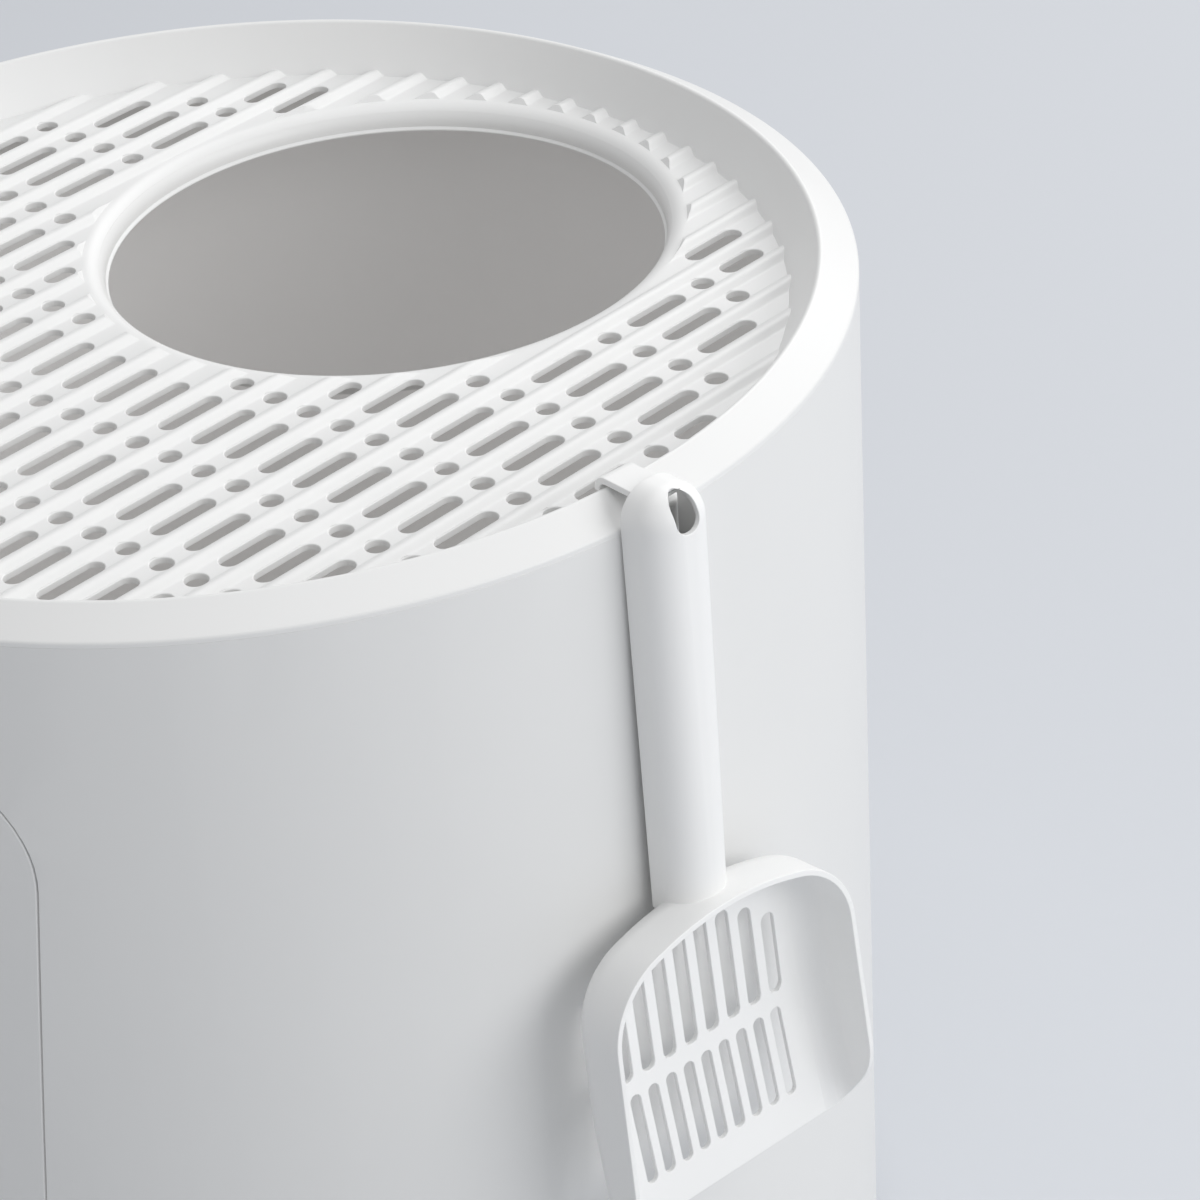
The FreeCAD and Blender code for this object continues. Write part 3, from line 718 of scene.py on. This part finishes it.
def deck_tree():
    """Geometry Nodes that turn a blank lid into one with flutes, a collar, slots and round holes."""
    tree = bpy.data.node_groups.new("Fluted perforated deck", "GeometryNodeTree")
    lengths = ["Flute Pitch", "Row Pitch", "First Row", "Slot Length", "Slot Width", "Shortest Slot",
               "Dot Diameter", "Pattern Radius", "Hole Place", "Collar Reach"]
    counts = ["Columns", "Rows"]
    objects = ["Flute Cutter", "Flute Zone", "Collar Ring", "Collar Cutter", "Slot Cutter",
               "Dot Cutter"]
    face = tree.interface
    face.new_socket("Geometry", in_out="INPUT", socket_type="NodeSocketGeometry")
    for names, kind in ((lengths, "NodeSocketFloat"), (counts, "NodeSocketInt"),
                        (objects, "NodeSocketObject"), (["Material"], "NodeSocketMaterial")):
        for name in names:
            face.new_socket(name, in_out="INPUT", socket_type=kind)
    face.new_socket("Geometry", in_out="OUTPUT", socket_type="NodeSocketGeometry")
    given = add(tree, "NodeGroupInput").outputs
    shapes = {name: add(tree, "GeometryNodeObjectInfo", {"Object": given[name]}).outputs["Geometry"]
              for name in objects}

    lid = cut_collar(tree, cut_flutes(tree, given, shapes), shapes)
    slot_grid, dot_grid = hole_grids(tree, given)
    slots = slot_cutters(tree, given, shapes, slot_grid)
    dots = dot_cutters(tree, given, shapes, dot_grid)
    for cutters in (slots, dots):
        lid = add(tree, BOOLEAN, {"Mesh 1": lid, "Mesh 2": cutters},
                  operation="DIFFERENCE", solver="MANIFOLD").outputs[0]
    whole = add(tree, "GeometryNodeRealizeInstances", {0: lid})
    made = add(tree, "GeometryNodeSetMaterial", {
        "Geometry": whole.outputs[0], "Material": given["Material"]})
    add(tree, "NodeGroupOutput", {0: made.outputs[0]})
    return tree


def cut_deck(blank, material):
    """Run the deck's tree on a lid, and return the plain mesh that it makes."""
    lid = settings().lid
    deck = settings().deck
    entry = settings().entry
    cutters = {
        "Flute Cutter": flute_cutter(),
        "Flute Zone": flute_zone(),
        "Collar Ring": collar_ring(),
        "Collar Cutter": collar_cutter(),
        "Slot Cutter": hole_cutter("slot_cutter", deck.slot_width / 2),
        "Dot Cutter": hole_cutter("dot_cutter", deck.dot_diameter / 2),
    }
    # Both counts reach past the dish: an even number of columns, and an odd number of rows
    columns = 2 * int(lid.dish_foot / deck.flute_pitch) + 2
    rows = 2 * int(deck.pattern_radius / deck.row_pitch / 2) + 3
    values = {
        "Flute Pitch": deck.flute_pitch,
        "Row Pitch": deck.row_pitch,
        "First Row": deck.first_row,
        "Slot Length": deck.slot_length,
        "Slot Width": deck.slot_width,
        "Shortest Slot": deck.slot_least,
        "Dot Diameter": deck.dot_diameter,
        "Pattern Radius": deck.pattern_radius,
        "Hole Place": entry.hole_y,
        "Collar Reach": entry.clear_radius,
        "Columns": columns,
        "Rows": rows,
        "Material": material,
    }
    tree = deck_tree()
    modifier = blank.modifiers.new("Deck", "NODES")
    modifier.node_group = tree
    sockets = {s.name: s.identifier for s in tree.interface.items_tree if s.in_out == "INPUT"}
    for name, value in {**values, **cutters}.items():
        modifier[sockets[name]] = value
    blank.update_tag()
    graph = bpy.context.evaluated_depsgraph_get()
    mesh = bpy.data.meshes.new_from_object(blank.evaluated_get(graph))
    blank.modifiers.remove(modifier)
    for cutter in cutters.values():
        bpy.data.objects.remove(cutter)
    return mesh


# Operators

class LITTERBOX_OT_lid(bpy.types.Operator):
    """Build the lid with its fluted, perforated deck and rolled entry hole"""
    bl_idname = "litter_box.lid"
    bl_label = "Build Lid"

    def execute(self, context):
        finish = settings().finish
        material = moulded_polypropylene("lid_satin_moulded_polypropylene", finish.lid_colour)
        piece = turned("lid_shell", lid_outline(), finish.turns)
        piece.data = cut_deck(piece, material)
        if len(piece.data.polygons) < finish.turns:
            raise RuntimeError("the deck's holes were not cut")
        smooth_by_angle(piece)
        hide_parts("lid")
        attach(piece, "lid")
        return {"FINISHED"}


class LITTERBOX_OT_drum(bpy.types.Operator):
    """Dress the drum and its drop-down front flap"""
    bl_idname = "litter_box.drum"
    bl_label = "Dress Drum and Flap"

    def execute(self, context):
        finish = settings().finish
        outside = moulded_polypropylene("drum_satin_moulded_polypropylene", finish.drum_colour)
        # Inside faces get a lighter painted shade and a faint painted glow that stand for daylight
        # through the wall
        inside = daylit_polypropylene("inside_painted_daylight_polypropylene", finish.inside_daylight_colour)
        panels = (("drum_body", "drum_shell", "drum"), ("front_flap", "flap_panel", "flap"))
        for node, name, body in panels:
            piece = soft_copy(node, name, outside)
            paint_daylight_inside(piece.data, inside)
            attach(piece, body)
        return {"FINISHED"}


class LITTERBOX_OT_hinge_pin(bpy.types.Operator):
    """Dress the pin that the flap turns on"""
    bl_idname = "litter_box.hinge_pin"
    bl_label = "Dress Hinge Pin"

    def execute(self, context):
        material = drawn_steel("hinge_pin_drawn_steel", settings().finish.pin_colour)
        piece = soft_copy("flap_hinge_pin", "hinge_pin", material)
        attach(piece, "drum")
        return {"FINISHED"}


class LITTERBOX_OT_scoop(bpy.types.Operator):
    """Dress the scoop that hangs on the rim"""
    bl_idname = "litter_box.scoop"
    bl_label = "Dress Scoop"

    def execute(self, context):
        shade = settings().finish.scoop_colour
        material = moulded_polypropylene("scoop_satin_moulded_polypropylene", shade)
        piece = soft_copy("scoop", "litter_scoop", material)
        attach(piece, "scoop")
        return {"FINISHED"}


def soft_lamp(name, place, aim, width, watts):
    """A large square lamp at a place, pointed at a spot."""
    light = bpy.data.lights.new(name, "AREA")
    light.shape = "SQUARE"
    light.size = width
    light.energy = watts
    lamp = bpy.data.objects.new(name, light)
    lamp.location = place
    lamp.rotation_euler = (Vector(aim) - Vector(place)).to_track_quat("-Z", "Y").to_euler()
    bpy.context.scene.collection.objects.link(lamp)


class LITTERBOX_OT_stage(bpy.types.Operator):
    """Set up the floor, the soft studio light and the camera"""
    bl_idname = "litter_box.stage"
    bl_label = "Set Up Stage"

    def execute(self, context):
        context.scene.view_settings.view_transform = "Standard"
        self.lay_floor()
        self.light()
        self.aim_camera()
        return {"FINISHED"}

    def lay_floor(self):
        studio = settings().studio
        half = studio.floor_half
        corners = [(-half, -half, 0), (half, -half, 0), (half, half, 0), (-half, half, 0)]
        floor = mesh_object("studio_floor", corners, [(0, 1, 2, 3)])
        floor.data.materials.append(matt_paint("floor_matt_paint", studio.floor_colour))

    def light(self):
        """An even sky, and four soft lamps that set the tones of the walls, the rim and the deck."""
        studio = settings().studio
        world = bpy.data.worlds.new("Studio")
        world.use_nodes = True
        sky = world.node_tree.nodes["Background"]
        sky.inputs["Color"].default_value = (*studio.sky_colour, 1.0)
        sky.inputs["Strength"].default_value = studio.sky
        bpy.context.scene.world = world
        aim = (0.0, 0.0, 0.3)
        wide, narrow = 1.4, 1.0
        soft_lamp("side_lamp", (2.14, 0.38, 1.31), aim, wide, studio.side_lamp)
        soft_lamp("back_lamp", (-0.58, 1.8, 1.78), aim, wide, studio.back_lamp)
        soft_lamp("top_lamp", (0.0, 0.1, 2.7), aim, wide, studio.top_lamp)
        soft_lamp("edge_lamp", (1.56, 1.31, 1.57), aim, narrow, studio.edge_lamp)

    def aim_camera(self):
        """The photograph's view, worked out from the rows of holes in its deck."""
        place = Vector((0.966205, -0.804583, 1.053751))
        azimuth = math.radians(44.849)
        elevation = math.radians(31.844)
        roll = math.radians(-4.616)
        focal_pixels = 4324.97
        image_pixels = 1200
        sensor = 36.0
        back = Vector((
            math.sin(azimuth) * math.cos(elevation),
            -math.cos(azimuth) * math.cos(elevation),
            math.sin(elevation),
        ))
        level = Vector((math.cos(azimuth), math.sin(azimuth), 0.0))
        upright = back.cross(level)
        right = math.cos(roll) * level + math.sin(roll) * upright
        up = math.cos(roll) * upright - math.sin(roll) * level
        turn = Matrix((right, up, back)).transposed().to_4x4()
        data = bpy.data.cameras.new("photo_view")
        data.sensor_width = sensor
        data.lens = focal_pixels * sensor / image_pixels
        camera = bpy.data.objects.new("photo_view", data)
        camera.matrix_world = Matrix.Translation(place) @ turn
        bpy.context.scene.collection.objects.link(camera)
        bpy.context.scene.camera = camera


class LITTERBOX_PT_panel(bpy.types.Panel):
    """Lists the steps that build the litter box"""
    bl_idname = "LITTERBOX_PT_panel"
    bl_label = "Litter Box"
    bl_space_type = "VIEW_3D"
    bl_region_type = "UI"
    bl_category = "Litter Box"

    def draw(self, context):
        for step in STEPS:
            self.layout.operator(step.bl_idname)
        for name in ("lid", "deck", "entry", "drum", "finish", "studio"):
            group = getattr(context.scene.litter_box, name)
            box = self.layout.box()
            box.label(text=name.capitalize())
            for key in group.__annotations__:
                box.prop(group, key)


STEPS = (
    LITTERBOX_OT_lid,
    LITTERBOX_OT_drum,
    LITTERBOX_OT_hinge_pin,
    LITTERBOX_OT_scoop,
    LITTERBOX_OT_stage,
)
CLASSES = (
    LitterBoxLidSizes,
    LitterBoxDeckSizes,
    LitterBoxEntrySizes,
    LitterBoxDrumSizes,
    LitterBoxFinish,
    LitterBoxStudio,
    LitterBoxSettings,
    *STEPS,
    LITTERBOX_PT_panel,
)


def register():
    for kind in CLASSES:
        bpy.utils.register_class(kind)
    bpy.types.Scene.litter_box = PointerProperty(type=LitterBoxSettings)


def unregister():
    del bpy.types.Scene.litter_box
    for kind in reversed(CLASSES):
        bpy.utils.unregister_class(kind)


def main():
    register()
    bpy.ops.litter_box.lid()
    bpy.ops.litter_box.drum()
    bpy.ops.litter_box.hinge_pin()
    bpy.ops.litter_box.scoop()
    bpy.ops.litter_box.stage()


if __name__ == "__main__":
    main()
